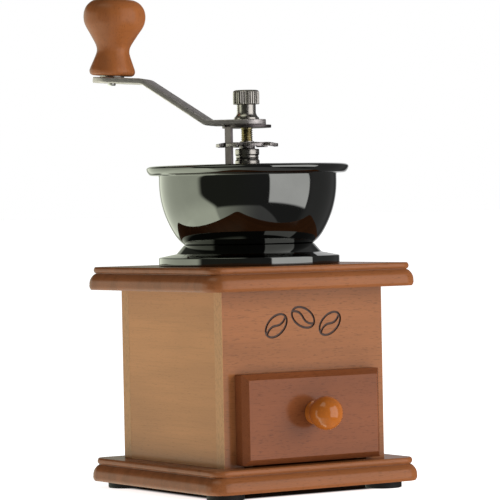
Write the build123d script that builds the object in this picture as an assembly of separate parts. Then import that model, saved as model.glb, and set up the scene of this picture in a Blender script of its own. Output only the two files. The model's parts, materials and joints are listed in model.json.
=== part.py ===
from build123d import *
import math
import os

# Hand-cranked box coffee mill. Millimetres, +Z up.
# The origin is on the ground under the centre of the square box, where the grinding axis meets the
# surface the mill stands on. The drawer opens towards -Y.

os.makedirs("parts", exist_ok=True)

BOTTOM = (Align.CENTER, Align.CENTER, Align.MIN)

# ---- Driving dimensions: wooden box ----
board_width = 104.8
board_thickness = 9.8
moulding_depth = 4.0
board_corner_radius = 8.0
body_width = 80.4
body_height = 72.8
panel_thickness = 6.0
foot_radius = 7.8
foot_height = 3.0
foot_inset = 12.6
foot_stem_radius = 2.5
foot_stem_height = 6.0
block_size = 8.0
block_height = 18.0

# ---- Driving dimensions: drawer ----
drawer_opening_width = 61.4
drawer_opening_height = 35.7
drawer_front_width = 69.0
drawer_front_height = 37.5
drawer_front_thickness = 7.0
drawer_front_lift = 1.0
drawer_bevel = 2.4
drawer_box_width = 60.6
drawer_box_height = 34.0
drawer_box_depth = 70.4
drawer_side = 4.0
drawer_floor = 3.0
drawer_clearance = 0.3
front_gap = 0.2
knob_radius = 7.0
knob_reach = 8.5

# ---- Driving dimensions: hopper ----
bowl_wall = 1.2
bowl_hole_radius = 14.5
bowl_wall_top = 131.0
bowl_radius = 38.0
side_arc_radius = 42.05
side_arc_angle = 32.0
shoulder_arc_radius = 16.4
shoulder_arc_angle = 49.1
heel_arc_radius = 9.8
rim_radius = 43.26
flange_radius = 38.74
pedestal_radius = 31.1
pedestal_sheet = 1.2
bowl_screw_circle = 19.0

# ---- Driving dimensions: grinding set ----
shaft_radius = 2.5
running_clearance = 0.06
thread_pitch = 0.8
thread_depth = 0.42
burr_bottom_level = 82.0
burr_top_level = 98.0
burr_body_radius = 15.5
burr_flange_radius = 22.0
burr_gap = 0.4
grinding_land_top = 90.0
ring_teeth = 24
cone_teeth = 18
bridge_thickness = 2.4
bridge_width = 12.0
bridge_top_level = 131.4
lower_bridge_thickness = 2.0
lower_bridge_width = 10.0
lower_bridge_level = 72.0

# ---- Driving dimensions: adjuster, crank and grip ----
bush_top_level = 144.9
wheel_radius = 13.35
wheel_thickness = 1.4
wheel_level = 146.3
wheel_notches = 8
notch_width = 4.8
notch_floor_radius = 8.9
key_level = 153.9
key_thickness = 1.2
key_radius = 10.5
key_leg_width = 4.2
key_leg_bottom = 136.5
key_leg_angle = 184.5
flat_width = 4.0
crank_angle = 134.0
crank_radius = 59.4
arm_width = 16.6
arm_thickness = 2.4
arm_slope = 33.65
arm_rise_start = 16.1
arm_plate_level = 175.9
arm_plate_tilt = 3.6
arm_bend_radius = 5.0
nut_head_radius = 5.65
nut_ridges = 36
nut_head_level = 164.0
nut_top_level = 170.1
grip_height = 32.9
grip_washer_thickness = 0.8
grip_pin_radius = 2.2

# ---- Levels and places that follow ----
base_top = foot_height + board_thickness
body_top = base_top + body_height
board_top = body_top + board_thickness
body_half = body_width / 2
inner_half = body_half - panel_thickness
arm_level = key_level + key_thickness
nut_level = arm_level + arm_thickness
drawer_face_back = -body_half - front_gap
drawer_face_front = drawer_face_back - drawer_front_thickness
drawer_box_bottom = base_top + drawer_clearance
drawer_front_bottom = base_top + drawer_front_lift
knob_level = drawer_front_bottom + drawer_front_height / 2 + 1.8
bore_radius = shaft_radius + running_clearance
side_drop = (side_arc_radius - shoulder_arc_radius) * math.sin(math.radians(side_arc_angle))
shoulder_drop = (shoulder_arc_radius - heel_arc_radius) * math.sin(math.radians(shoulder_arc_angle))
bowl_bottom_level = bowl_wall_top - side_drop - shoulder_drop - heel_arc_radius


def save(shape, name):
    shape.label = name
    export_step(shape, f"parts/{name}.step")


def turned(points):
    """A solid of revolution about Z from (radius, height) points joined by straight lines."""
    outline = Polyline(*points, close=True)
    return revolve(Plane.XZ * make_face(outline), Axis.Z)


def cylinder(radius, low, high):
    return Pos(0, 0, low) * Cylinder(radius, high - low, align=BOTTOM)


def ring_of(shape, count, start=0.0):
    return [Rot(0, 0, start + i * 360.0 / count) * shape for i in range(count)]


def corners(shape, offset):
    return [Pos(x * offset, y * offset, 0) * shape for x in (-1, 1) for y in (-1, 1)]


def screw(head_radius, head_height, shank_radius, length):
    """A cross-recessed screw pointing up +Z, its head's top face at z = 0 and facing down."""
    tip = shank_radius * 1.6
    body = turned(
        [
            (0, 0),
            (head_radius * 0.8, 0),
            (head_radius, head_height * 0.45),
            (head_radius, head_height),
            (shank_radius, head_height),
            (shank_radius, head_height + length - tip),
            (0, head_height + length),
        ]
    )
    slot = Box(head_radius * 1.2, 0.7, head_height, align=BOTTOM)
    return body - slot - Rot(0, 0, 90) * slot


# ---- Wooden box ----


def moulding_profile():
    """Edge of a board, from its flat core outwards: ovolo below, quirk, and a small bead on top."""
    top = board_thickness
    quirk = 6.9
    lines = Polyline((0, 0), (3.3, 0))
    lines += ThreePointArc((3.3, 0), (3.85, 0.8), (4.0, 2.3))
    lines += ThreePointArc((4.0, 2.3), (3.35, 5.0), (1.4, quirk))
    lines += Polyline((1.4, quirk), (1.1, quirk), (1.1, quirk + 0.35), (1.5, quirk + 0.35))
    lines += ThreePointArc((1.5, quirk + 0.35), (2.05, 8.5), (1.4, top))
    lines += Polyline((1.4, top), (0, top), (0, 0))
    return Plane.XZ * make_face(lines)


def moulded_board():
    """Square board with the moulding run along its sides and turned round its corners."""
    core_half = board_width / 2 - moulding_depth
    straight_half = board_width / 2 - board_corner_radius
    profile = Pos(core_half, straight_half, 0) * moulding_profile()
    strip = extrude(profile, amount=2 * straight_half)
    corner = revolve(profile, Axis((straight_half, straight_half, 0), (0, 0, 1)), 90)
    core = Box(2 * core_half, 2 * core_half, board_thickness, align=BOTTOM)
    core = fillet(core.edges().filter_by(Axis.Z), core_half - straight_half)
    return core + ring_of(strip, 4) + ring_of(corner, 4)


def base_screw_places():
    return [(x * (body_half - panel_thickness / 2), y * 20.0) for x in (-1, 1) for y in (-1, 1)]


def block_centre():
    return inner_half - block_size / 2


def make_base_board():
    board = Pos(0, 0, foot_height) * moulded_board()
    stem = cylinder(foot_stem_radius, foot_height, foot_height + foot_stem_height)
    board -= corners(stem, board_width / 2 - foot_inset)
    for x, y in base_screw_places():
        board -= Pos(x, y, 0) * cylinder(1.55, foot_height, base_top)
        board -= Pos(x, y, 0) * cylinder(3.2, foot_height, foot_height + 2.2)
    return board


def make_top_board():
    board = Pos(0, 0, body_top) * moulded_board()
    board -= cylinder(burr_body_radius + 0.5, body_top, board_top)
    board -= corners(cylinder(1.55, body_top, body_top + 6.5), block_centre())
    for x, y in hopper_screw_places():
        board -= Pos(x, y, 0) * cylinder(1.65, body_top + 1.5, board_top)
    for y in (-27.0, 27.0):
        board -= Pos(0, y, 0) * cylinder(1.55, body_top, body_top + 7.5)
    return board


def bean_outline(length, width):
    """One coffee bean drawn as a grooved oval with an S-shaped crease."""
    half = length / 2
    groove = 1.0
    oval = Ellipse(half, width / 2) - Ellipse(half - groove, width / 2 - groove)
    left = ThreePointArc((-half + 0.8, 0.0), (-half / 2, 0.9), (0, 0))
    right = ThreePointArc((0, 0), (half / 2, -0.9), (half - 0.8, 0.0))
    return oval + trace(left, groove) + trace(right, groove)


def bean_engraving():
    """Row of three coffee beans, cut into the front panel above the drawer."""
    depth = 0.5
    places = [(-13.5, 70.6, 38.0), (0.0, 73.6, -28.0), (13.5, 70.6, 38.0)]
    cutters = []
    for x, z, turn in places:
        bean = Rot(0, 0, turn) * bean_outline(13.0, 8.6)
        cutters.append(extrude(Plane.XZ * (Pos(x, z) * bean), amount=1.0, both=True))
    return [Pos(0, -body_half + depth - 1.0, 0) * cutter for cutter in cutters]


def make_front_panel():
    middle = -body_half + panel_thickness / 2
    panel = Pos(0, middle, base_top) * Box(body_width, panel_thickness, body_height, align=BOTTOM)
    opening = Box(drawer_opening_width, 3 * panel_thickness, drawer_opening_height, align=BOTTOM)
    panel -= Pos(0, middle, base_top) * opening
    return panel - bean_engraving()


def make_back_panel():
    middle = body_half - panel_thickness / 2
    return Pos(0, middle, base_top) * Box(body_width, panel_thickness, body_height, align=BOTTOM)


def make_side_panel(side):
    middle = side * (body_half - panel_thickness / 2)
    panel = Pos(middle, 0, base_top) * Box(panel_thickness, 2 * inner_half, body_height, align=BOTTOM)
    for x, y in base_screw_places():
        if x * side > 0:
            panel -= Pos(x, y, 0) * cylinder(1.55, base_top, base_top + 18.5)
    return panel


def make_corner_blocks():
    block = Pos(0, 0, body_top - block_height) * Box(block_size, block_size, block_height, align=BOTTOM)
    block -= cylinder(1.55, body_top - block_height, body_top)
    return Compound(corners(block, block_centre()))


def make_block_screws():
    head = 2.0
    one = Pos(0, 0, body_top - block_height - head) * screw(2.8, head, 1.5, block_height + 6.0)
    return Compound(corners(one, block_centre()))


def make_base_screws():
    one = Pos(0, 0, foot_height + 0.1) * screw(3.0, 2.0, 1.5, board_thickness + 15.0)
    return Compound([Pos(x, y, 0) * one for x, y in base_screw_places()])


def make_rubber_feet():
    """Solid rubber studs, each pressed by its stem into a blind hole in the base board."""
    foot = cylinder(foot_radius, 0, foot_height)
    foot = fillet(foot.edges().sort_by(Axis.Z)[0], 0.4)
    foot += cylinder(foot_stem_radius, 0, foot_height + foot_stem_height)
    return Compound(corners(foot, board_width / 2 - foot_inset))


def make_drawer_guides():
    width = 3.3
    guide = Box(width, 2 * inner_half - 3.4, 8.0, align=BOTTOM)
    places = [(side * (inner_half - width / 2), -1.7) for side in (-1, 1)]
    return Compound([Pos(x, y, base_top) * guide for x, y in places])


def make_drawer_stop():
    return Pos(0, inner_half - 1.6, base_top) * Box(40.0, 3.2, 8.0, align=BOTTOM)


# ---- Drawer ----


def make_drawer_front():
    slab = Pos(0, (drawer_face_back + drawer_face_front) / 2, drawer_front_bottom) * Box(
        drawer_front_width, drawer_front_thickness, drawer_front_height, align=BOTTOM
    )
    slab = chamfer(slab.faces().sort_by(Axis.Y)[0].edges(), drawer_bevel)
    slab = fillet(slab.edges().filter_by(Axis.Y), 0.6)
    hole = Rot(90, 0, 0) * Cylinder(1.65, 4 * drawer_front_thickness)
    return slab - Pos(0, drawer_face_back, knob_level) * hole


def make_drawer_side(side):
    x = side * (drawer_box_width / 2 - drawer_side / 2)
    y = drawer_face_back + drawer_box_depth / 2
    return Pos(x, y, drawer_box_bottom) * Box(drawer_side, drawer_box_depth, drawer_box_height, align=BOTTOM)


def make_drawer_back():
    width = drawer_box_width - 2 * drawer_side
    y = drawer_face_back + drawer_box_depth - drawer_side / 2
    return Pos(0, y, drawer_box_bottom) * Box(width, drawer_side, drawer_box_height, align=BOTTOM)


def make_drawer_bottom():
    width = drawer_box_width - 2 * drawer_side
    depth = drawer_box_depth - drawer_side
    floor = Box(width, depth, drawer_floor, align=BOTTOM)
    return Pos(0, drawer_face_back + depth / 2, drawer_box_bottom + 1.5) * floor


def make_drawer_knob():
    """Turned ball knob: a flared seat on the drawer front, a short neck and a ball."""
    reach = knob_reach
    neck = 3.5
    ball_start = -math.sqrt(knob_radius**2 - neck**2)
    lines = Polyline((0, 0), (5.0, 0), (5.0, 0.8))
    lines += ThreePointArc((5.0, 0.8), (3.75, 1.5), (neck, reach + ball_start))
    lines += ThreePointArc((neck, reach + ball_start), (knob_radius, reach), (0, reach + knob_radius))
    lines += Line((0, reach + knob_radius), (0, 0))
    knob = revolve(Plane.XZ * make_face(lines), Axis.Z) - cylinder(1.65, 0, 8.0)
    return Pos(0, drawer_face_front, knob_level) * Rot(90, 0, 0) * knob


def make_drawer_knob_screw():
    head = 1.8
    one = screw(3.2, head, 1.6, drawer_front_thickness + 7.0)
    return Pos(0, drawer_face_back + head, knob_level) * Rot(90, 0, 0) * one


# ---- Hopper ----


def polar(centre, radius, degrees):
    angle = math.radians(degrees)
    return (centre[0] + radius * math.cos(angle), centre[1] - radius * math.sin(angle))


def bowl_curve(inset):
    """Bowl section from its side to its flat bottom: three tangent arcs, each set in by inset."""
    side = (bowl_radius - side_arc_radius, bowl_wall_top)
    shoulder = polar(side, side_arc_radius - shoulder_arc_radius, side_arc_angle)
    heel = polar(shoulder, shoulder_arc_radius - heel_arc_radius, shoulder_arc_angle)
    arcs = [
        (side, side_arc_radius, 0.0, side_arc_angle),
        (shoulder, shoulder_arc_radius, side_arc_angle, shoulder_arc_angle),
        (heel, heel_arc_radius, shoulder_arc_angle, 90.0),
    ]
    edges = Curve()
    for centre, radius, start, end in arcs:
        angles = (start, (start + end) / 2, end)
        edges += ThreePointArc(*[polar(centre, radius - inset, angle) for angle in angles])
    return edges, polar(heel, heel_arc_radius - inset, 90.0)


def make_hopper_bowl():
    """Spun steel bowl with a rolled lip and a hole in its floor over the burrs."""
    outer, outer_floor = bowl_curve(0.0)
    inner, inner_floor = bowl_curve(bowl_wall)
    inner_radius = bowl_radius - bowl_wall
    lip = Polyline((bowl_radius, bowl_wall_top), (bowl_radius, 134.2), (41.2, 134.2))
    lip += ThreePointArc((41.2, 134.2), (42.6, 135.2), (rim_radius, 136.8))
    lip += ThreePointArc((rim_radius, 136.8), (42.3, 137.8), (39.6, 138.1))
    lip += ThreePointArc((39.6, 138.1), (37.6, 137.0), (inner_radius, 134.3))
    lip += Line((inner_radius, 134.3), (inner_radius, bowl_wall_top))
    floor = Polyline(
        outer_floor,
        (bowl_hole_radius, outer_floor[1]),
        (bowl_hole_radius, inner_floor[1]),
        inner_floor,
    )
    bowl = revolve(Plane.XZ * make_face(outer + inner + lip + floor), Axis.Z)
    for x, y in hopper_screw_places():
        bowl -= Pos(x, y, 0) * cylinder(1.7, bowl_bottom_level - 1, bowl_bottom_level + 3)
    return bowl


def make_hopper_foot():
    """Pressed foot ring under the bowl: a flange on the wood and a cone that carries the bowl."""
    sheet = pedestal_sheet
    outer = Polyline((flange_radius, board_top), (flange_radius, 98.5), (flange_radius - 0.5, 99.0))
    outer += Polyline((flange_radius - 0.5, 99.0), (pedestal_radius, 100.5), (27.8, 104.3))
    inner = Polyline(
        (27.8, 104.3),
        (26.8, 103.5),
        (pedestal_radius - sheet, 99.5),
        (flange_radius - sheet, 97.9),
        (flange_radius - sheet, board_top),
        (flange_radius, board_top),
    )
    return revolve(Plane.XZ * make_face(outer + inner), Axis.Z)


def hopper_screw_places():
    r = bowl_screw_circle
    return [(r, 0), (-r, 0), (0, r), (0, -r)]


def hopper_screw(seat_level):
    """Round-head screw driven down through the bowl's floor into the top board."""
    head = 1.8
    reach = seat_level - (body_top + 2.0)
    return Pos(0, 0, seat_level + head) * Rot(180, 0, 0) * screw(2.8, head, 1.6, reach)


def make_bridge_screws():
    one = hopper_screw(bowl_bottom_level + bowl_wall + bridge_thickness)
    return Compound([Pos(x, y, 0) * one for x, y in hopper_screw_places()[:2]])


def make_bowl_screws():
    one = hopper_screw(bowl_bottom_level + bowl_wall)
    return Compound([Pos(x, y, 0) * one for x, y in hopper_screw_places()[2:]])


# ---- Bridges and bushes ----


def bent_strap(points, thickness, width, bend_radius):
    """Flat strip bent along a line of (x, z) points, width measured along Y."""
    line = FilletPolyline(*points, radius=bend_radius)
    return extrude(Plane.XZ * trace(line, thickness), amount=width / 2, both=True)


def mirrored_route(half):
    return half + [(-x, z) for x, z in reversed(half)]


def make_upper_bridge():
    foot = bowl_bottom_level + bowl_wall + bridge_thickness / 2
    top = bridge_top_level - bridge_thickness / 2
    route = mirrored_route([(21.2, foot), (12.6, foot), (10.8, top)])
    strap = bent_strap(route, bridge_thickness, bridge_width, 3.0)
    strap -= cylinder(4.05, bridge_top_level - 5, bridge_top_level + 1)
    for x, y in hopper_screw_places()[:2]:
        strap -= Pos(x, y, 0) * cylinder(1.7, foot - 3, foot + 3)
    return strap


def make_bridge_bush():
    """Turned bush riveted through the bridge: the upper bearing, with a waist near its top."""
    low = bridge_top_level
    outline = [
        (bore_radius, low - 4.6),
        (4.6, low - 4.6),
        (4.6, low - bridge_thickness - 0.6),
        (4.0, low - bridge_thickness),
        (4.0, low),
        (5.25, low),
        (5.25, 139.9),
        (4.9, 140.6),
        (4.88, 142.1),
        (5.15, 142.5),
        (5.15, bush_top_level - 0.3),
        (4.85, bush_top_level),
        (bore_radius, bush_top_level),
    ]
    return turned(outline)


def make_lower_bridge():
    """Strap hung under the top board, carrying the lower bearing below the burrs."""
    ends = body_top - lower_bridge_thickness / 2
    low = lower_bridge_level - lower_bridge_thickness / 2
    route = mirrored_route([(31.5, ends), (20.5, ends), (18.0, low)])
    strap = bent_strap(route, lower_bridge_thickness, lower_bridge_width, 3.0)
    strap -= cylinder(4.05, low - 3, low + 3)
    for x in (-27.0, 27.0):
        strap -= Pos(x, 0, 0) * cylinder(1.6, ends - 3, ends + 3)
    return Rot(0, 0, 90) * strap


def make_lower_bridge_screws():
    head = 1.8
    one = Pos(0, 0, body_top - lower_bridge_thickness - head) * screw(2.8, head, 1.5, 9.0)
    return Compound([Pos(0, y, 0) * one for y in (-27.0, 27.0)])


def make_lower_bush():
    top = lower_bridge_level
    under = top - lower_bridge_thickness
    outline = [
        (bore_radius, under - 0.8),
        (4.0, under - 0.8),
        (4.0, top),
        (5.4, top),
        (5.4, top + 1.8),
        (4.9, top + 2.3),
        (bore_radius, top + 2.3),
    ]
    return turned(outline)


# ---- Burrs and shaft ----


def tooth_cutter(radius, low, high, depth, twist, lean):
    """V-shaped groove cutter standing at the given radius, leaning with the burr's face."""
    size = depth * math.sqrt(2)
    bar = Rot(0, 0, 45) * Box(size, size, high - low + 2, align=BOTTOM)
    return Pos(radius, 0, low - 1) * Rot(twist, lean, 0) * bar


def make_outer_burr():
    """Fixed burr ring: flange on the top board, body hanging through it, toothed bore."""
    land = 11.9
    mouth = 13.1
    flange_top = bowl_bottom_level
    outline = [
        (mouth, burr_bottom_level),
        (burr_body_radius, burr_bottom_level),
        (burr_body_radius, board_top),
        (burr_flange_radius, board_top),
        (burr_flange_radius, flange_top),
        (13.8, flange_top),
        (11.7, 96.0),
        (land, grinding_land_top),
    ]
    ring = turned(outline)
    lean = -math.degrees(math.atan((mouth - land) / (grinding_land_top - burr_bottom_level)))
    cutter = tooth_cutter(mouth, burr_bottom_level, grinding_land_top + 4, 0.75, 8.0, lean)
    ring -= ring_of(cutter, ring_teeth)
    for x, y in hopper_screw_places():
        ring -= Pos(x, y, 0) * cylinder(1.7, board_top - 1, flange_top + 1)
    return ring


def make_inner_burr():
    """Turning cone: a toothed grinding land below and coarse breaking flutes above."""
    low_radius = 13.1 - burr_gap
    land_radius = 11.9 - burr_gap
    outline = [
        (bore_radius, burr_bottom_level),
        (low_radius, burr_bottom_level),
        (land_radius, grinding_land_top),
        (5.4, burr_top_level),
        (bore_radius, burr_top_level),
    ]
    cone = turned(outline)
    drop = grinding_land_top - burr_bottom_level
    lean = -math.degrees(math.atan((low_radius - land_radius) / drop))
    fine = tooth_cutter(low_radius, burr_bottom_level, grinding_land_top + 4, 0.75, -10.0, lean)
    cone -= ring_of(fine, cone_teeth)
    flute_lean = -math.degrees(math.atan((land_radius - 5.4) / (burr_top_level - grinding_land_top)))
    flute = tooth_cutter(land_radius + 0.6, grinding_land_top, burr_top_level + 6, 1.7, -22.0, flute_lean)
    return cone - ring_of(flute, 6, start=10.0)


def make_burr_washer():
    return cylinder(6.2, burr_bottom_level - 1.0, burr_bottom_level) - cylinder(
        bore_radius, burr_bottom_level - 2, burr_bottom_level
    )


def make_burr_nut():
    top = burr_bottom_level - 1.0
    height = 4.0
    nut = Pos(0, 0, top - height) * extrude(RegularPolygon(4.0, 6, major_radius=False), amount=height)
    bevel = turned([(0, 0), (3.7, 0), (4.7, 0.6), (4.7, height - 0.6), (3.7, height), (0, height)])
    nut &= Pos(0, 0, top - height) * bevel
    return nut - cylinder(bore_radius, top - height, top)


def make_burr_spring():
    """Coil spring on the shaft, holding the cone down from the upper bush."""
    wire = 0.4
    low = burr_top_level + 0.1 + wire
    high = bridge_top_level - 4.6 - 0.1 - wire
    coil = Helix(pitch=(high - low) / 7, height=high - low, radius=3.7)
    section = Plane(origin=coil @ 0, z_dir=coil % 0) * Circle(wire)
    return Pos(0, 0, low) * sweep(section, path=coil, is_frenet=True)


def make_shaft():
    """Threaded M5 shaft with two flats that key the stopper plate and the crank arm."""
    low = 68.0
    top = 167.6
    thread_start = 148.4
    points = [(0, low), (shaft_radius - 0.5, low), (shaft_radius, low + 0.5)]
    turns = int((key_level - thread_start) / thread_pitch)
    for i in range(turns):
        z = thread_start + i * thread_pitch
        points += [(shaft_radius, z), (shaft_radius - thread_depth, z + thread_pitch / 2)]
    points += [(shaft_radius, key_level - 0.6)]
    points += [(shaft_radius, top - 0.5), (shaft_radius - 0.5, top), (0, top)]
    shaft = turned(points)
    for side in (-1, 1):
        flat = Pos(0, side * (flat_width / 2 + 2), key_level) * Box(10, 4, top - key_level, align=BOTTOM)
        shaft -= flat
    return Rot(0, 0, crank_angle) * shaft


def keyed_hole(low, high):
    """Hole with two flats that fits the shaft's keyed end."""
    play = 0.05
    round_part = cylinder(shaft_radius + play, low, high)
    keyed = round_part & Pos(0, 0, low) * Box(10, flat_width + 2 * play, high - low, align=BOTTOM)
    return Rot(0, 0, crank_angle) * keyed


# ---- Adjusting wheel, stopper, nut and crank ----


def make_adjusting_wheel():
    """Notched wheel that sets the grind; its lobes are turned slightly down."""
    droop = 0.5
    top = wheel_level + wheel_thickness
    outline = [
        (bore_radius, 145.0),
        (3.4, 145.0),
        (3.4, wheel_level),
        (10.4, wheel_level),
        (wheel_radius, wheel_level - droop),
        (wheel_radius, top - droop - 0.1),
        (wheel_radius - 0.3, top - droop),
        (10.4, top),
        (3.1, top),
        (3.1, top + 0.5),
        (bore_radius, top + 0.5),
    ]
    wheel = turned(outline)
    reach = 8.0
    slot = Box(reach, notch_width, 6, align=(Align.MIN, Align.CENTER, Align.CENTER))
    notch = Pos(notch_floor_radius, 0, wheel_level) * slot
    return wheel - ring_of(notch, wheel_notches, start=key_leg_angle)


def make_stopper_plate():
    """Disc keyed to the shaft, with one leg bent down through a notch of the wheel."""
    top = key_level + key_thickness
    disc = cylinder(key_radius, key_level, top) - keyed_hole(key_level, key_level + 5)
    disc = Rot(0, 0, -key_leg_angle) * disc
    notch = Box(4, key_leg_width, 4, align=(Align.MIN, Align.CENTER, Align.MIN))
    disc -= Pos(key_radius - key_thickness, 0, key_level) * notch
    leg = Box(key_thickness, key_leg_width, top - key_leg_bottom, align=(Align.MAX, Align.CENTER, Align.MIN))
    leg = Pos(key_radius - 0.2, 0, key_leg_bottom) * leg
    leg = chamfer(leg.edges().filter_by(Axis.X).sort_by(Axis.Z)[:2], 0.8)
    bend = leg.edges().filter_by(Axis.Y).group_by(Axis.Z)[-1].sort_by(Axis.X)[-1]
    leg = fillet(bend, key_thickness - 0.2)
    return Rot(0, 0, key_leg_angle) * (disc + leg)


def arm_route():
    """Middle line of the crank arm as (distance from the shaft, level) corners."""
    hub = arm_level + arm_thickness / 2
    slope = math.tan(math.radians(arm_slope))
    tilt = math.tan(math.radians(arm_plate_tilt))
    plate_at_shaft = arm_plate_level - tilt * crank_radius
    bend = (plate_at_shaft - hub + slope * arm_rise_start) / (slope - tilt)
    far = crank_radius + arm_width
    return [
        (-arm_width, hub),
        (arm_rise_start, hub),
        (bend, plate_at_shaft + tilt * bend),
        (far, plate_at_shaft + tilt * far),
    ]


def on_crank(shape):
    """Carry a shape from the grip pin's own frame to the end of the crank."""
    return Rot(0, 0, crank_angle) * Pos(crank_radius, 0, arm_plate_level) * Rot(0, -arm_plate_tilt, 0) * shape


def make_crank_arm():
    strap = bent_strap(arm_route(), arm_thickness, 2 * arm_width, arm_bend_radius)
    outline = Pos(crank_radius / 2, 0) * SlotCenterToCenter(crank_radius, arm_width)
    strap &= Pos(0, 0, arm_level - 5) * extrude(outline, amount=60)
    arm = Rot(0, 0, crank_angle) * strap
    arm -= keyed_hole(arm_level - 1, nut_level + 1)
    return arm - on_crank(cylinder(1.75, -5, 5))


def knurled_disc(radius, ridges, height):
    """Straight-knurled disc: a star outline with one point for each ridge."""
    step = 360.0 / ridges
    points = []
    for i in range(ridges):
        for offset, depth in ((-0.28, 0.0), (0.28, 0.0), (0.5, 0.4)):
            angle = math.radians((i + offset) * step)
            points.append(((radius - depth) * math.cos(angle), (radius - depth) * math.sin(angle)))
    return extrude(make_face(Polyline(*points, close=True)), amount=height)


def make_cap_nut():
    """Finger nut that holds the crank: knurled head, neck and flared seat."""
    seat = Polyline((0, nut_level), (5.4, nut_level), (5.4, nut_level + 0.7))
    seat += ThreePointArc((5.4, nut_level + 0.7), (4.5, 159.2), (4.05, 161.0))
    seat += Polyline((4.05, 161.0), (4.05, nut_head_level + 1), (0, nut_head_level + 1), (0, nut_level))
    stem = revolve(Plane.XZ * make_face(seat), Axis.Z)
    height = nut_top_level - nut_head_level
    head = knurled_disc(nut_head_radius, nut_ridges, height)
    side = [(0, 0), (5.2, 0), (5.7, 0.5), (5.7, height - 1.2)]
    dome = turned(side + [(4.9, height - 0.2), (3.6, height), (0, height)])
    nut = stem + Pos(0, 0, nut_head_level) * (head & dome)
    return nut - cylinder(shaft_radius + 0.02, nut_level, nut_level + 11.0)


def grip_base():
    """Height of the grip's underside above the middle of the arm, along the pin."""
    return arm_thickness / 2 + grip_washer_thickness + 0.05


def make_grip_washer():
    low = arm_thickness / 2
    hole = cylinder(grip_pin_radius + 0.05, low, low + 2)
    return on_crank(cylinder(5.3, low, low + grip_washer_thickness) - hole)


def make_grip():
    """Turned pear-shaped wooden grip, free to spin on its pin."""
    neck = Spline((9.3, 0.7), (9.85, 2.2), (8.5, 6.0), (7.07, 11.0), (8.3, 14.6), (9.9, 17.2))
    head = Spline((9.9, 17.2), (11.6, 19.8), (13.2, 23.2), (13.2, 27.3), (11.9, 30.2), (8.6, 32.6))
    ends = Polyline((8.6, 32.6), (7.6, grip_height), (0, grip_height), (0, 0), (8.6, 0), (9.3, 0.7))
    grip = revolve(Plane.XZ * make_face(neck + head + ends), Axis.Z)
    grip -= cylinder(grip_pin_radius + running_clearance, 0, 25)
    grip -= cylinder(3.8, 21.9, grip_height)
    return on_crank(Pos(0, 0, grip_base()) * grip)


def make_grip_plug():
    return on_crank(Pos(0, 0, grip_base()) * cylinder(3.8, grip_height - 4.0, grip_height))


def make_grip_pin():
    """Shouldered pin: headed inside the grip, riveted through the arm."""
    head = grip_base() + 22.0
    outline = [
        (0, -arm_thickness / 2 - 1.0),
        (1.5, -arm_thickness / 2 - 1.0),
        (1.7, -arm_thickness / 2 - 0.7),
        (1.7, arm_thickness / 2),
        (grip_pin_radius, arm_thickness / 2),
        (grip_pin_radius, head),
        (3.4, head),
        (3.4, head + 1.6),
        (2.8, head + 2.2),
        (0, head + 2.2),
    ]
    return on_crank(turned(outline))


pieces = {
    "base_board": make_base_board(),
    "top_board": make_top_board(),
    "front_panel": make_front_panel(),
    "back_panel": make_back_panel(),
    "left_panel": make_side_panel(-1),
    "right_panel": make_side_panel(1),
    "corner_blocks": make_corner_blocks(),
    "block_screws": make_block_screws(),
    "base_screws": make_base_screws(),
    "rubber_feet": make_rubber_feet(),
    "drawer_guides": make_drawer_guides(),
    "drawer_stop": make_drawer_stop(),
    "drawer_front": make_drawer_front(),
    "drawer_left_side": make_drawer_side(-1),
    "drawer_right_side": make_drawer_side(1),
    "drawer_back": make_drawer_back(),
    "drawer_bottom": make_drawer_bottom(),
    "drawer_knob": make_drawer_knob(),
    "drawer_knob_screw": make_drawer_knob_screw(),
    "hopper_bowl": make_hopper_bowl(),
    "hopper_foot": make_hopper_foot(),
    "bridge_screws": make_bridge_screws(),
    "bowl_screws": make_bowl_screws(),
    "upper_bridge": make_upper_bridge(),
    "bridge_bush": make_bridge_bush(),
    "lower_bridge": make_lower_bridge(),
    "lower_bridge_screws": make_lower_bridge_screws(),
    "lower_bush": make_lower_bush(),
    "outer_burr": make_outer_burr(),
    "inner_burr": make_inner_burr(),
    "burr_washer": make_burr_washer(),
    "burr_nut": make_burr_nut(),
    "burr_spring": make_burr_spring(),
    "shaft": make_shaft(),
    "adjusting_wheel": make_adjusting_wheel(),
    "stopper_plate": make_stopper_plate(),
    "crank_arm": make_crank_arm(),
    "cap_nut": make_cap_nut(),
    "grip_washer": make_grip_washer(),
    "grip_pin": make_grip_pin(),
    "grip": make_grip(),
    "grip_plug": make_grip_plug(),
}

for node, piece in pieces.items():
    save(piece, node)
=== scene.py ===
"""A hand-cranked box coffee mill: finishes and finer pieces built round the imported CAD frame."""

import json
import math

import bmesh
import bpy
from mathutils import Matrix, Vector


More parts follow.
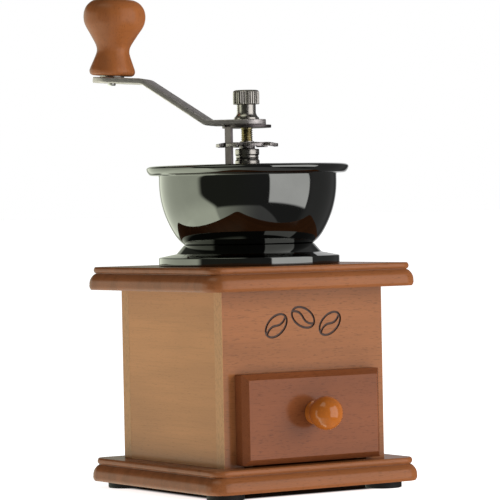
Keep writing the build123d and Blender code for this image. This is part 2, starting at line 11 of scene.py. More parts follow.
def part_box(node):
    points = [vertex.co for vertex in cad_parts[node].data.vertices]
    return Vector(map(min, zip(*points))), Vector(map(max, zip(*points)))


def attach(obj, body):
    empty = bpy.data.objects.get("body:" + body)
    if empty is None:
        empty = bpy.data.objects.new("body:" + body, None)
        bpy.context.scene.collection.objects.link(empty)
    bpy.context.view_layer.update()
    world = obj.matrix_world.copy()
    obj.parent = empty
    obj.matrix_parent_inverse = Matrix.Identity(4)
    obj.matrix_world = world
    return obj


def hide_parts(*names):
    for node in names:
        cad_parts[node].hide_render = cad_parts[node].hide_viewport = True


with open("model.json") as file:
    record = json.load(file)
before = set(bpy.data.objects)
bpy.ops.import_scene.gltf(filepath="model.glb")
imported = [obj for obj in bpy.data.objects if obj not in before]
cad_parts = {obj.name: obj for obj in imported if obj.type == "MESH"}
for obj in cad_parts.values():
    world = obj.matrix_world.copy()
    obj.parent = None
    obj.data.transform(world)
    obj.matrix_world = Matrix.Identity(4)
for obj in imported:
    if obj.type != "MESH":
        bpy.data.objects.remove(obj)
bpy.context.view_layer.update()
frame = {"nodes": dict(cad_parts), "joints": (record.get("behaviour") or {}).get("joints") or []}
nodes = frame["nodes"]
joints = {joint["name"]: joint for joint in frame["joints"]}

MM = 0.001
SHARP_ANGLE = math.radians(35)
BEVEL_ANGLE = math.radians(40)
WELD_DISTANCE = 2e-6

# ---- Camera: where the mill is looked at from ----
VIEW_AZIMUTH = math.radians(-33.064)
VIEW_DISTANCE = 1.27004
VIEW_HEIGHT = 0.119167
VIEW_SHIFT_RIGHT = 0.000371
VIEW_PITCH = math.radians(0.79)
VIEW_ROLL = math.radians(-1.131)
LENS = 213.5


# ---- Outlines, as (radius, height) points in millimetres ----


def arc(centre, radius, start, end, steps):
    """Points of an arc; angles in degrees, measured downwards from straight out."""
    points = []
    for i in range(steps + 1):
        angle = math.radians(start + (end - start) * i / steps)
        points.append((centre[0] + radius * math.cos(angle), centre[1] - radius * math.sin(angle)))
    return points


def arc_through(first, middle, last, steps):
    """Points of the arc that goes through three points."""
    (ax, ay), (bx, by), (cx, cy) = first, middle, last
    d = 2 * (ax * (by - cy) + bx * (cy - ay) + cx * (ay - by))
    a2, b2, c2 = ax * ax + ay * ay, bx * bx + by * by, cx * cx + cy * cy
    ux = (a2 * (by - cy) + b2 * (cy - ay) + c2 * (ay - by)) / d
    uy = (a2 * (cx - bx) + b2 * (ax - cx) + c2 * (bx - ax)) / d
    start = math.atan2(ay - uy, ax - ux)
    turn = math.atan2(cy - uy, cx - ux) - start
    half = math.atan2(by - uy, bx - ux) - start
    turn, half = turn % math.tau, half % math.tau
    if half > turn:
        turn -= math.tau
    radius = math.hypot(ax - ux, ay - uy)
    angles = [start + turn * i / steps for i in range(steps + 1)]
    return [(ux + radius * math.cos(a), uy + radius * math.sin(a)) for a in angles]


def rounded(points, steps=5):
    """A closed outline of (x, y, corner radius) points with its corners rounded."""
    made = []
    for i, (x, y, radius) in enumerate(points):
        here = Vector((x, y))
        before = Vector(points[i - 1][:2]) - here
        after = Vector(points[(i + 1) % len(points)][:2]) - here
        if radius <= 0:
            made.append((x, y))
            continue
        half_angle = before.angle(after) / 2
        reach = min(radius / math.tan(half_angle), before.length * 0.49, after.length * 0.49)
        start = here + before.normalized() * reach
        end = here + after.normalized() * reach
        for k in range(steps + 1):
            t = k / steps
            point = start * (1 - t) ** 2 + here * 2 * t * (1 - t) + end * t * t
            made.append((point.x, point.y))
    return made


def smooth_curve(points, steps=10):
    """Points of a smooth curve through the given ones (a Catmull-Rom spline)."""
    padded = [points[0], *points, points[-1]]
    made = []
    for i in range(1, len(padded) - 2):
        p0, p1, p2, p3 = (Vector(p) for p in padded[i - 1 : i + 3])
        for k in range(steps):
            t = k / steps
            point = 0.5 * (
                2 * p1
                + (p2 - p0) * t
                + (2 * p0 - 5 * p1 + 4 * p2 - p3) * t**2
                + (3 * p1 - p0 - 3 * p2 + p3) * t**3
            )
            made.append((point.x, point.y))
    made.append(tuple(points[-1]))
    return made


# ---- Meshes ----


def mark_sharp(mesh_edges):
    """Keep the edges that turn by more than SHARP_ANGLE sharp in smooth shading."""
    for edge in mesh_edges:
        if len(edge.link_faces) == 2:
            edge.smooth = edge.calc_face_angle() < SHARP_ANGLE


def piece_from(bm, name, material, matrix=None):
    """Turn a bmesh in millimetres into an object in metres."""
    bmesh.ops.recalc_face_normals(bm, faces=bm.faces)
    for face in bm.faces:
        face.smooth = True
    mark_sharp(bm.edges)
    mesh = bpy.data.meshes.new(name)
    bm.to_mesh(mesh)
    bm.free()
    mesh.transform(Matrix.Scale(MM, 4))
    if matrix is not None:
        mesh.transform(matrix)
    piece = bpy.data.objects.new(name, mesh)
    piece.data.materials.append(material)
    bpy.context.scene.collection.objects.link(piece)
    return piece


def lathe(name, outline, material, segments=160, shape=None, matrix=None):
    """Turn a closed outline about Z. shape(radius, height, angle) may change a point's radius."""
    bm = bmesh.new()
    rings = []
    for radius, height in outline:
        if radius < 1e-6:
            rings.append([bm.verts.new((0, 0, height))])
            continue
        ring = []
        for k in range(segments):
            angle = math.tau * k / segments
            r = shape(radius, height, angle) if shape else radius
            ring.append(bm.verts.new((r * math.cos(angle), r * math.sin(angle), height)))
        rings.append(ring)
    for a, b in zip(rings, rings[1:] + rings[:1]):
        for k in range(segments):
            corners = [a[k % len(a)], a[(k + 1) % len(a)], b[(k + 1) % len(b)], b[k % len(b)]]
            corners = list(dict.fromkeys(corners))
            if len(corners) >= 3:
                bm.faces.new(corners)
    return piece_from(bm, name, material, matrix)


def stand_for(piece, node, body):
    """Let a piece ride on its body and be seen in place of its CAD node."""
    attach(piece, body)
    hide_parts(node)
    return piece


# ---- Materials ----


class Shader:
    """A material's node tree, with short calls for the nodes used here."""

    def __init__(self, name):
        self.material = bpy.data.materials.new(name)
        self.material.use_nodes = True
        self.tree = self.material.node_tree
        self.surface = self.tree.nodes["Principled BSDF"]
        self.place = self.add("ShaderNodeTexCoord").outputs["Object"]

    def add(self, kind, settings=(), inputs=()):
        """A new node; inputs are values or sockets for its first inputs, in order."""
        node = self.tree.nodes.new(kind)
        for key, value in dict(settings).items():
            setattr(node, key, value)
        for i, value in enumerate(inputs):
            self.put(node.inputs[i], value)
        return node

    def put(self, socket, value):
        """Link a socket, or set a plain value."""
        if isinstance(value, bpy.types.NodeSocket):
            self.tree.links.new(value, socket)
        else:
            socket.default_value = value

    def maths(self, operation, first, second=0.0):
        return self.add("ShaderNodeMath", {"operation": operation}, (first, second)).outputs[0]

    def times(self, first, second):
        return self.maths("MULTIPLY", first, second)

    def split(self, vector):
        """The x, y and z of a vector."""
        return self.add("ShaderNodeSeparateXYZ", (), (vector,)).outputs

    def ramp(self, value, low, high, out_low=0.0, out_high=1.0):
        """A smooth step from out_low to out_high while value goes from low to high."""
        node = self.add("ShaderNodeMapRange", {"interpolation_type": "SMOOTHSTEP"})
        for key, item in (("Value", value), ("From Min", low), ("From Max", high)):
            self.put(node.inputs[key], item)
        node.inputs["To Min"].default_value = out_low
        node.inputs["To Max"].default_value = out_high
        return node.outputs[0]

    def stretched(self, scale, turn=(0, 0, 0), shift=(0, 0, 0)):
        """The place on the object, in steps of scale metres along each turned axis."""
        node = self.add("ShaderNodeMapping", {"vector_type": "TEXTURE"})
        node.inputs["Location"].default_value = shift
        node.inputs["Rotation"].default_value = turn
        node.inputs["Scale"].default_value = scale
        self.put(node.inputs["Vector"], self.place)
        return node.outputs[0]

    def noise(self, vector, detail=3.0, rough=0.5, distortion=0.0):
        """Soft noise from 0 to 1 with features about one unit of vector across."""
        node = self.add("ShaderNodeTexNoise")
        for key, item in (("Vector", vector), ("Scale", 1.0), ("Detail", detail)):
            self.put(node.inputs[key], item)
        node.inputs["Roughness"].default_value = rough
        node.inputs["Distortion"].default_value = distortion
        return node.outputs["Fac"]

    def mix(self, factor, first, second):
        """The first colour where factor is 0, the second where it is 1."""
        node = self.add("ShaderNodeMix", {"data_type": "RGBA"})
        for key, item in ((0, factor), (6, first), (7, second)):
            self.put(node.inputs[key], item)
        return node.outputs[2]

    def choose(self, factor, first, second):
        """The first number where factor is 0, the second where it is 1."""
        node = self.add("ShaderNodeMix", {"data_type": "FLOAT"})
        for key, item in ((0, factor), (2, first), (3, second)):
            self.put(node.inputs[key], item)
        return node.outputs[0]

    def bump(self, height, strength, distance):
        node = self.add("ShaderNodeBump")
        node.inputs["Strength"].default_value = strength
        node.inputs["Distance"].default_value = distance
        self.put(node.inputs["Height"], height)
        self.put(self.surface.inputs["Normal"], node.outputs[0])

    def set(self, **values):
        """Set the surface's own sockets by name, with _ for a space."""
        for key, value in values.items():
            self.put(self.surface.inputs[key.replace("_", " ")], value)


def rgb(red, green, blue):
    """Linear colour with full alpha."""
    return (red, green, blue, 1.0)


def shade(colour, factor):
    """The same colour, darker by factor."""
    return rgb(*(channel * factor for channel in colour[:3]))


GRAIN_TURNS = {"X": (0, 0, 0), "Y": (0, 0, math.pi / 2), "Z": (0, math.pi / 2, 0)}
BAND_SIZE = (0.16, 0.007, 0.009)
FIBRE_SIZE = (0.020, 0.00045, 0.00045)
CLOUD_SIZE = (0.06, 0.03, 0.03)
FLECK_SIZE = (0.0026, 0.00034, 0.00034)
PORE_SIZE = (0.0012, 0.0004, 0.0012)
BUMP_HEIGHT = 0.1 * MM


def wood(name, colour, grain="X", shift=0.0, fleck=0.5, streak=0.25, rough=0.55, coat=0.5, gloss=0.18):
    """Lacquered beech: soft growth bands, fine fibres and short dark flecks along the grain.

    grain is the axis it runs along, shift moves its figure, fleck and streak are the strengths of
    the flecks and bands, rough is the wood's roughness, coat and gloss the lacquer's weight and roughness.
    """
    s = Shader(name)
    turn = GRAIN_TURNS[grain]
    place = (shift, shift * 0.7, shift * 1.3)
    bands = s.noise(s.stretched(BAND_SIZE, turn, place), 3.0, 0.55, 0.4)
    fibres = s.noise(s.stretched(FIBRE_SIZE, turn, place), 3.0, 0.6)
    cloud = s.noise(s.stretched(CLOUD_SIZE, turn, place), 2.0)
    dashes = s.noise(s.stretched(FLECK_SIZE, turn, place), 1.0, 0.4)
    fleck_mask = s.ramp(dashes, 0.60, 0.72)
    base = s.mix(s.ramp(cloud, 0.35, 0.65), colour, shade(colour, 0.88))
    base = s.mix(s.ramp(bands, 0.38, 0.68, 0.0, streak), base, shade(colour, 0.55))
    base = s.mix(s.ramp(fibres, 0.45, 0.75, 0.0, 0.30), base, shade(colour, 0.60))
    base = s.mix(s.times(fleck_mask, fleck), base, shade(colour, 0.42))
    s.set(Base_Color=base, Roughness=s.ramp(fibres, 0.3, 0.8, rough - 0.05, rough + 0.08))
    s.set(Coat_Weight=coat, Coat_Roughness=gloss, Specular_IOR_Level=0.0)
    height = s.maths("SUBTRACT", s.times(fibres, 0.5), s.times(fleck_mask, 0.5))
    s.bump(height, 0.16, BUMP_HEIGHT)
    return s


def metal(name, colour, rough, spread=0.04, grain=0.004, bump=0.0):
    """Plated or ground metal whose roughness varies by spread, in patches of grain metres."""
    s = Shader(name)
    smear = s.noise(s.stretched((grain, grain, grain)), 4.0, 0.6)
    tone = s.mix(s.ramp(smear, 0.3, 0.7), colour, shade(colour, 0.9))
    s.set(Base_Color=tone, Metallic=1.0, Roughness=s.ramp(smear, 0.3, 0.7, rough, rough + spread))
    if bump:
        fine = s.noise(s.stretched((0.0004, 0.0004, 0.0004)), 2.0, 0.5)
        s.bump(s.maths("ADD", smear, fine), bump, BUMP_HEIGHT)
    return s.material


def rubber(name):
    """Black rubber with a fine grain."""
    s = Shader(name)
    grain = s.noise(s.stretched((0.0006, 0.0006, 0.0006)), 3.0)
    s.set(Base_Color=s.mix(grain, rgb(0.006, 0.006, 0.006), rgb(0.016, 0.016, 0.016)), Roughness=0.62)
    s.set(Specular_IOR_Level=0.2)
    s.bump(grain, 0.3, BUMP_HEIGHT)
    return s.material


def end_grain(s, board, colour):
    """Show the cut ends of a board's fibres where it reaches its full width."""
    x, _, _ = s.split(s.place)
    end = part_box(board)[1].x - 0.1 * MM
    at_end = s.maths("GREATER_THAN", s.maths("ABSOLUTE", x), end)
    pores = s.noise(s.stretched(PORE_SIZE), 2.0)
    cut = s.mix(s.ramp(pores, 0.45, 0.7), colour, shade(colour, 0.75))
    base = s.surface.inputs["Base Color"].links[0].from_socket
    s.set(Base_Color=s.mix(at_end, base, cut))


def engraving(s, board, colour):
    """Darken the beans' grooves: what lies a little under the board's face, around the beans."""
    depth, half_width, bottom, top = 0.5 * MM, 25 * MM, 60 * MM, 84 * MM
    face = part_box(board)[0].y
    x, y, z = s.split(s.place)
    inside = s.ramp(y, face + depth * 0.12, face + depth * 0.4)
    inside = s.times(inside, s.ramp(y, face + depth * 1.3, face + depth * 1.6, 1.0, 0.0))
    for value, low, high in ((x, -half_width, half_width), (z, bottom, top)):
        inside = s.times(inside, s.maths("GREATER_THAN", value, low))
        inside = s.times(inside, s.maths("LESS_THAN", value, high))
    base = s.surface.inputs["Base Color"].links[0].from_socket
    s.set(Base_Color=s.mix(inside, base, colour))


FRONT = rgb(0.277, 0.104, 0.037)
SIDE = rgb(0.50, 0.229, 0.079)
END_GRAIN = rgb(0.46, 0.235, 0.090)
MOULDING = rgb(0.273, 0.095, 0.032)
DRAWER = rgb(0.205, 0.063, 0.022)
GRIP = rgb(0.335, 0.109, 0.030)
KNOB = rgb(0.44, 0.125, 0.018)
PALE = rgb(0.62, 0.44, 0.26)
BURNT = rgb(0.050, 0.024, 0.016)

front_wood = wood("front_wood", FRONT, "X", 0.31)
back_wood = wood("back_wood", FRONT, "X", 2.70)
left_wood = wood("left_wood", SIDE, "Y", 0.90, fleck=0.22)
right_wood = wood("right_wood", SIDE, "Y", 1.70, fleck=0.22)
top_wood = wood("top_wood", MOULDING, "X", 3.10, streak=0.5)
base_wood = wood("base_wood", MOULDING, "X", 4.30, streak=0.5)
drawer_wood = wood("drawer_wood", DRAWER, "X", 5.20, fleck=0.7)
inner_wood = wood("inner_wood", PALE, "X", 6.10, fleck=0.25, rough=0.6, coat=0.0)
inner_wood_y = wood("inner_wood_y", PALE, "Y", 7.40, fleck=0.25, rough=0.6, coat=0.0)
grip_wood = wood("grip_wood", GRIP, "Z", 8.20, streak=0.5, gloss=0.3)
knob_wood = wood("knob_wood", KNOB, "Y", 9.30, fleck=0.25, coat=1.0, gloss=0.05)

engraving(front_wood, "front_panel", BURNT)
end_grain(front_wood, "front_panel", END_GRAIN)
end_grain(back_wood, "back_panel", END_GRAIN)

black_chrome = metal("black_chrome", rgb(0.150, 0.152, 0.145), 0.035, 0.02, grain=0.02)
dark_nickel = metal("dark_nickel", rgb(0.420, 0.400, 0.365), 0.34, 0.08, grain=0.006, bump=0.03)
turned_nickel = metal("turned_nickel", rgb(0.400, 0.375, 0.345), 0.26, 0.05, grain=0.006)
strap_steel = metal("strap_steel", rgb(0.540, 0.500, 0.490), 0.50, 0.08, grain=0.006, bump=0.03)
stopper_steel = metal("stopper_steel", rgb(0.120, 0.104, 0.106), 0.40, 0.08, grain=0.006, bump=0.03)
passivated = metal("passivated_brass", rgb(0.50, 0.43, 0.24), 0.34, 0.10, grain=0.002)
zinc = metal("zinc_plate", rgb(0.66, 0.66, 0.64), 0.30, 0.12, bump=0.05)
spring_wire = metal("spring_wire", rgb(0.50, 0.50, 0.49), 0.22, 0.08)
burr_iron = metal("burr_iron", rgb(0.20, 0.195, 0.19), 0.42, 0.18, grain=0.0015, bump=0.4)
foot_rubber = rubber("foot_rubber")

FINISHES = {
    "front_panel": front_wood.material,
    "back_panel": back_wood.material,
    "left_panel": left_wood.material,
    "right_panel": right_wood.material,
    "top_board": top_wood.material,
    "base_board": base_wood.material,
    "drawer_front": drawer_wood.material,
    "corner_blocks": inner_wood.material,
    "drawer_guides": inner_wood_y.material,
    "drawer_stop": inner_wood.material,
    "drawer_left_side": inner_wood_y.material,
    "drawer_right_side": inner_wood_y.material,
    "drawer_back": inner_wood.material,
    "drawer_bottom": inner_wood_y.material,
    "grip_plug": grip_wood.material,
    "block_screws": zinc,
    "base_screws": zinc,
    "bridge_screws": zinc,
    "bowl_screws": zinc,
    "lower_bridge_screws": zinc,
    "lower_bridge": zinc,
    "drawer_knob_screw": zinc,
    "burr_washer": zinc,
    "burr_nut": zinc,
    "grip_pin": zinc,
    "grip_washer": dark_nickel,
    "upper_bridge": dark_nickel,
    "adjusting_wheel": strap_steel,
    "stopper_plate": stopper_steel,
    "lower_bush": passivated,
    "burr_spring": spring_wire,
    "outer_burr": burr_iron,
    "inner_burr": burr_iron,
    "rubber_feet": foot_rubber,
}


def finish_cad_nodes():
    """Give each CAD node that stays in sight its own material."""
    for node, material in FINISHES.items():
        mesh = nodes[node].data
        mesh.materials.clear()
        mesh.materials.append(material)


def soften_edges(node, width, segments=3):
    """Weld the CAD mesh's seams and round its sharp edges a little, as sanding or plating does."""
    piece = nodes[node]
    weld = piece.modifiers.new("weld", "WELD")
    weld.merge_threshold = WELD_DISTANCE
    bevel = piece.modifiers.new("edges", "BEVEL")
    bevel.width = width
    bevel.segments = segments
    bevel.limit_method = "ANGLE"
    bevel.angle_limit = BEVEL_ANGLE
    bevel.harden_normals = True


def soften_cad_nodes():
    """Break the sharp edges of the wooden boards and of the plates that show."""
    for node in ("left_panel", "right_panel", "back_panel", "drawer_left_side", "drawer_right_side"):
        soften_edges(node, 0.25 * MM)
    for node in ("drawer_back", "drawer_bottom", "drawer_guides", "drawer_stop", "corner_blocks"):
        soften_edges(node, 0.25 * MM, 2)
    soften_edges("drawer_front", 0.45 * MM, 4)
    soften_edges("adjusting_wheel", 0.15 * MM, 2)
    soften_edges("stopper_plate", 0.2 * MM, 2)
    soften_edges("upper_bridge", 0.25 * MM, 2)


# ---- Turned pieces on the shaft's axis, in millimetres ----


def bowl_curve(inset, steps):
    """The bowl's side, shoulder and heel arcs, set in by inset, from the lip to the flat floor."""
    side, side_radius, side_angle = (-4.05, 131.0), 42.05, 32.0
    shoulder_radius, shoulder_angle, heel_radius = 16.4, 49.1, 9.8
    shoulder = arc(side, side_radius - shoulder_radius, side_angle, side_angle, 1)[0]
    heel = arc(shoulder, shoulder_radius - heel_radius, shoulder_angle, shoulder_angle, 1)[0]
    points = arc(side, side_radius - inset, 0, side_angle, steps)
    points += arc(shoulder, shoulder_radius - inset, side_angle, shoulder_angle, steps // 2)[1:]
    points += arc(heel, heel_radius - inset, shoulder_angle, 90, steps // 2)[1:]
    return points


def make_bowl():
    """Hopper bowl with a lip that is rolled outwards and a hole in its floor."""
    wall, hole = 1.2, 14.5
    outer = bowl_curve(0.0, 40)
    inner = bowl_curve(wall, 40)
    underside = [(38.0, 133.6), (38.25, 134.1), (38.8, 134.2), (40.9, 134.2), (41.9, 134.45)]
    rim = [(42.6, 135.2), (43.05, 136.0), (43.26, 136.8), (43.05, 137.35), (42.3, 137.8)]
    crest = [(41.0, 138.05), (39.6, 138.1)]
    lip = smooth_curve(underside + rim + crest, 5)
    lip += arc_through((39.5, 138.1), (37.6, 137.0), (36.8, 134.3), 16)
    outline = list(reversed(outer)) + lip + inner + [(hole, inner[-1][1]), (hole, outer[-1][1])]
    bowl = lathe("bowl", outline, black_chrome, segments=240)
    return stand_for(bowl, "hopper_bowl", "box")


def make_foot_ring():
    """Pressed ring under the bowl: a sloping flange, then a steeper cone up to the bowl."""
    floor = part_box("hopper_foot")[0].z / MM
    flange_radius, wall = 38.7, 1.2
    outline = rounded(
        [
            (flange_radius, floor, 0.3),
            (flange_radius, 99.0, 0.55),
            (31.1, 100.5, 0.6),
            (27.9, 104.2, 0.25),
            (26.9, 103.8, 0.2),
            (28.9, 101.2, 0.5),
        ],
        steps=6,
    )
    outline += [(28.5, 99.2), (flange_radius - wall, 97.9), (flange_radius - wall, floor)]
    ring = lathe("foot_ring", outline, black_chrome, segments=240)
    return stand_for(ring, "hopper_foot", "box")


def make_bush():
    """Upper bush: a tail through the bridge, a body, a waist with a bead in it and a head."""
    bore, tail, body, head = 2.56, 4.0, 5.25, 5.15
    low, shoulder, waist, top = 127.2, 131.45, 141.3, 144.9
    outline = rounded(
        [
            (bore, low, 0),
            (4.6, low, 0.2),
            (4.6, low + 1.2, 0.2),
            (tail, low + 1.8, 0),
            (tail, shoulder, 0),
            (body, shoulder, 0.2),
            (body, waist - 1.5, 0.4),
            (4.75, waist - 0.7, 0.15),
            (4.9, waist, 0.3),
            (4.75, waist + 0.8, 0.15),
            (head, waist + 1.2, 0.3),
            (head, top, 0.45),
            (bore, top, 0.2),
        ]
    )
    bush = lathe("upper_bush", outline, turned_nickel, segments=128)
    return stand_for(bush, "bridge_bush", "box")


def make_shaft():
    """The shaft, with a helical thread where it shows and two flats that hold the crank."""
    radius, depth, pitch, run_out, flat_distance = 2.5, 0.42, 0.8, 0.5, 1.98
    bottom, thread_low, thread_high, flats_low, top = 68.0, 148.2, 153.7, 153.85, 167.6

    def thread(r, z, angle):
        if r < radius - 0.01 or not thread_low < z < thread_high:
            return r
        phase = (z / pitch - angle / math.tau) % 1.0
        ridge = abs(phase - 0.5) * 2
        fade = min(1.0, (z - thread_low) / run_out, (thread_high - z) / run_out)
        return r - depth * (1 - min(1.0, ridge * 1.25)) * fade

    def thread_and_flats(r, z, angle):
        if z < flats_low:
            return thread(r, z, angle)
        return min(r, flat_distance / max(1e-6, abs(math.sin(angle - crank_angle()))))

    chamfer, step = 0.5, 0.08
    steps = int((thread_high - thread_low) / step)
    outline = [(0, bottom), (radius - chamfer, bottom), (radius, bottom + chamfer), (radius, thread_low)]
    outline += [(radius, thread_low + (thread_high - thread_low) * i / steps) for i in range(1, steps)]
    outline += [(radius, thread_high), (radius, flats_low - 0.01), (radius, flats_low + 0.01)]
    outline += [(radius, top - chamfer), (radius - chamfer, top), (0, top)]
    shaft = lathe("threaded_shaft", outline, passivated, segments=96, shape=thread_and_flats)
    return stand_for(shaft, "shaft", "spindle")


def make_cap_nut():
    """Knurled finger nut: a straight-knurled head, a neck and a flared seat on the crank."""
    ridges, groove_depth = 36, 0.26
    bore, neck, head, seat_radius = 2.54, 4.05, 5.65, 5.4
    seat, low, high = 157.5, 164.0, 170.1
    bore_top = seat + 11

    def knurl(r, z, angle):
        if r < 4.9 or z < low + 0.05 or z > high - 0.1:
            return r
        phase = (angle / math.tau * ridges) % 1.0
        groove = max(0.0, 1 - abs(phase - 0.5) / 0.30)
        fade = min(1.0, (z - low) / 0.3, (high - z) / 0.5)
        return r - groove_depth * groove * fade

    outline = [(bore, seat), (5.2, seat), (seat_radius, seat + 0.15), (seat_radius, seat + 0.6)]
    outline += arc_through((5.35, seat + 0.8), (4.45, seat + 1.8), (neck, seat + 3.7), 10)
    outline += [(neck, low - 0.25), (4.3, low), (5.4, low), (head, low + 0.25)]
    outline += [(head, low + 0.5 + (high - low - 2.0) * i / 8) for i in range(9)]
    outline += arc_through((head, high - 1.2), (5.3, high - 0.35), (4.3, high), 8)
    outline += [(2.0, high), (0, high), (0, bore_top), (bore, bore_top)]
    nut = lathe("finger_nut", outline, turned_nickel, segments=ridges * 10, shape=knurl)
    return stand_for(nut, "cap_nut", "spindle")


# ---- Crank ----


def grip_frame():
    """Frame of the grip's pin: origin in the middle of the arm, Z along the pin, X outwards."""
    joint = joints["grip_spin"]
    origin = Vector(joint["pos_m"])
    z = Vector(joint["axis"]).normalized()
    out = Vector((origin.x, origin.y, 0)).normalized()
    x = (out - z * out.dot(z)).normalized()
    y = z.cross(x)
    return Matrix.Translation(origin) @ Matrix((x, y, z)).transposed().to_4x4()


def crank_angle():
    """Direction in which the arm points at rest."""
    origin = joints["grip_spin"]["pos_m"]
    return math.atan2(origin[1], origin[0])


ARM_WIDTH = 16.6
ARM_THICKNESS = 2.4
GRIP_SEAT = ARM_THICKNESS / 2 + 0.85


def arm_stations():
    """Middle line of the arm as (distance, level, slope angle, half width), with round ends."""
    origin = Vector(joints["grip_spin"]["pos_m"]) / MM
    axis = Vector(joints["grip_spin"]["axis"])
    radius = math.hypot(origin.x, origin.y)
    tilt = math.acos(min(1.0, axis.normalized().z))
    hub, rise, slope, bend = 156.3, 16.1, math.radians(33.65), 5.0
    plate = origin.z - math.tan(tilt) * radius
    knee = (plate - hub + math.tan(slope) * rise) / (math.tan(slope) - math.tan(tilt))
    half, thinnest = ARM_WIDTH / 2, 0.5
    end_steps, bend_steps = 12, 8
    corners = [
        (Vector((0.0, hub)), 0.0),
        (Vector((rise, hub)), slope),
        (Vector((knee, plate + math.tan(tilt) * knee)), tilt),
        (Vector((radius, origin.z)), tilt),
    ]
    stations = []
    for i in range(end_steps + 1):
        angle = math.pi / 2 * i / end_steps
        stations.append((-half * math.cos(angle), hub, 0.0, max(thinnest, half * math.sin(angle))))
    angle_in = 0.0
    for point, angle_out in corners[1:3]:
        turn = angle_out - angle_in
        reach = abs(bend * math.tan(turn / 2))
        start = point - Vector((math.cos(angle_in), math.sin(angle_in))) * reach
        side = math.copysign(1.0, turn)
        centre = start + Vector((-math.sin(angle_in), math.cos(angle_in))) * bend * side
        for k in range(bend_steps + 1):
            angle = angle_in + turn * k / bend_steps
            here = centre + Vector((math.sin(angle), -math.cos(angle))) * bend * side
            stations.append((here.x, here.y, angle, half))
        angle_in = angle_out
    for i in range(end_steps + 1):
        angle = math.pi / 2 * i / end_steps
        out = half * math.sin(angle)
        x = radius + out * math.cos(tilt)
        z = origin.z + out * math.sin(tilt)
        stations.append((x, z, tilt, max(thinnest, half * math.cos(angle))))
    return stations


def arm_section(half_width):
    """Rounded strap section as (across, up) points."""
    t = ARM_THICKNESS / 2
    corner = min(0.55, half_width * 0.8)
    points = [(-half_width, -t, corner), (half_width, -t, corner)]
    points += [(half_width, t, corner), (-half_width, t, corner)]
    return rounded(points, steps=4)


def make_arm():
    """Bent strap of the crank: its section swept along its middle line."""
    bm = bmesh.new()
    rings = []
    for distance, level, slope, half in arm_stations():
        ring = []
        for across, up in arm_section(half):
            x = distance - up * math.sin(slope)
            z = level + up * math.cos(slope)
            ring.append(bm.verts.new((x, across, z)))
        rings.append(ring)
    for a, b in zip(rings, rings[1:]):
        for k in range(len(a)):
            n = (k + 1) % len(a)
            bm.faces.new((a[k], a[n], b[n], b[k]))
    bm.faces.new(rings[0])
    bm.faces.new(rings[-1])
    turn = Matrix.Rotation(crank_angle(), 4, "Z")
    arm = piece_from(bm, "crank_strap", strap_steel, turn)
    return stand_for(arm, "crank_arm", "spindle")


def make_grip():
    """Turned grip, hollow for its pin, with the counterbore that its plug closes."""
    bore, counterbore, ledge, top = 2.26, 3.8, 21.9, 32.9
    foot = [(9.0, 0.25), (9.6, 0.8), (9.85, 2.2), (9.15, 4.3)]
    waist = [(8.1, 7.0), (7.2, 9.6), (7.08, 11.4), (7.6, 13.2), (8.7, 15.2), (9.75, 16.9), (10.5, 18.2)]
    head = [(11.8, 20.2), (12.9, 22.4), (13.38, 25.0), (13.2, 27.4), (12.3, 29.7), (10.7, 31.5), (9.2, 32.4)]
    outline = smooth_curve(foot + waist + head, 6)
    outline += [(8.2, top - 0.15), (7.0, top), (counterbore + 0.15, top), (counterbore, top - 0.15)]
    outline += [(counterbore, ledge), (bore, ledge), (bore, 0.0), (8.5, 0.0)]
    matrix = grip_frame() @ Matrix.Translation((0, 0, GRIP_SEAT * MM))
    grip = lathe("turned_grip", outline, grip_wood.material, segments=128, matrix=matrix)
    return stand_for(grip, "grip", "grip")


def make_drawer_knob():
    """Glossy ball knob turned with its neck and seat, standing out of the drawer front."""
    radius, reach, neck, seat_radius, bore, bore_depth = 7.0, 8.5, 3.5, 5.0, 1.65, 8.0
    ball_low = reach - math.sqrt(radius**2 - neck**2)
    start = math.degrees(math.asin((reach - ball_low) / radius))
    outline = [(bore, 0.0), (seat_radius - 0.15, 0.0), (seat_radius, 0.15), (seat_radius, 0.7)]
    outline += arc_through((4.9, 0.95), (3.8, 1.6), (neck, ball_low), 6)
    outline += arc((0, reach), radius, start, -89.0, 40)[1:]
    outline += [(0, reach + radius), (0, bore_depth), (bore, bore_depth)]
    low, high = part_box("drawer_knob")
    seat = Matrix.Translation((0, high.y, (low.z + high.z) / 2)) @ Matrix.Rotation(math.pi / 2, 4, "X")
    knob = lathe("ball_knob", outline, knob_wood.material, segments=96, matrix=seat)
    return stand_for(knob, "drawer_knob", "drawer")


finish_cad_nodes()
soften_cad_nodes()
make_bowl()
make_foot_ring()
make_bush()
make_shaft()
make_cap_nut()
make_arm()
make_grip()
make_drawer_knob()


# ---- Stage ----


FLOOR_GLOW = 0.85
STUDIO_LEVEL = 2.0
WHITE = rgb(1.0, 1.0, 1.0)
GREENISH = rgb(0.95, 1.0, 0.82)


def make_floor():
    """White table that glows from within, with a painted shadow under the mill: darker colour and no glow
    there.
    """
    half_size, shadow_inset, lit_inset = 40.0, 13 * MM, 7 * MM
    bm = bmesh.new()
    bmesh.ops.create_grid(bm, x_segments=2, y_segments=2, size=half_size)
    mesh = bpy.data.meshes.new("floor")
    bm.to_mesh(mesh)
    bm.free()
    floor = bpy.data.objects.new("floor", mesh)
    bpy.context.scene.collection.objects.link(floor)
    s = Shader("studio_floor")
    x, y, _ = s.split(s.place)
    reach = s.maths("MAXIMUM", s.maths("ABSOLUTE", x), s.maths("ABSOLUTE", y))
    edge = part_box("base_board")[1].x
    # Painted shadow: under the mill the table's colour turns dark and its glow fades out.
    lit = s.ramp(reach, edge - shadow_inset, edge - lit_inset)
    s.set(Base_Color=s.mix(lit, shade(WHITE, 0.03), shade(WHITE, 0.90)), Roughness=0.9)
    s.set(Specular_IOR_Level=0.1)
    s.set(Emission_Color=WHITE, Emission_Strength=s.times(lit, FLOOR_GLOW))
    mesh.materials.append(s.material)
    floor.visible_glossy = False


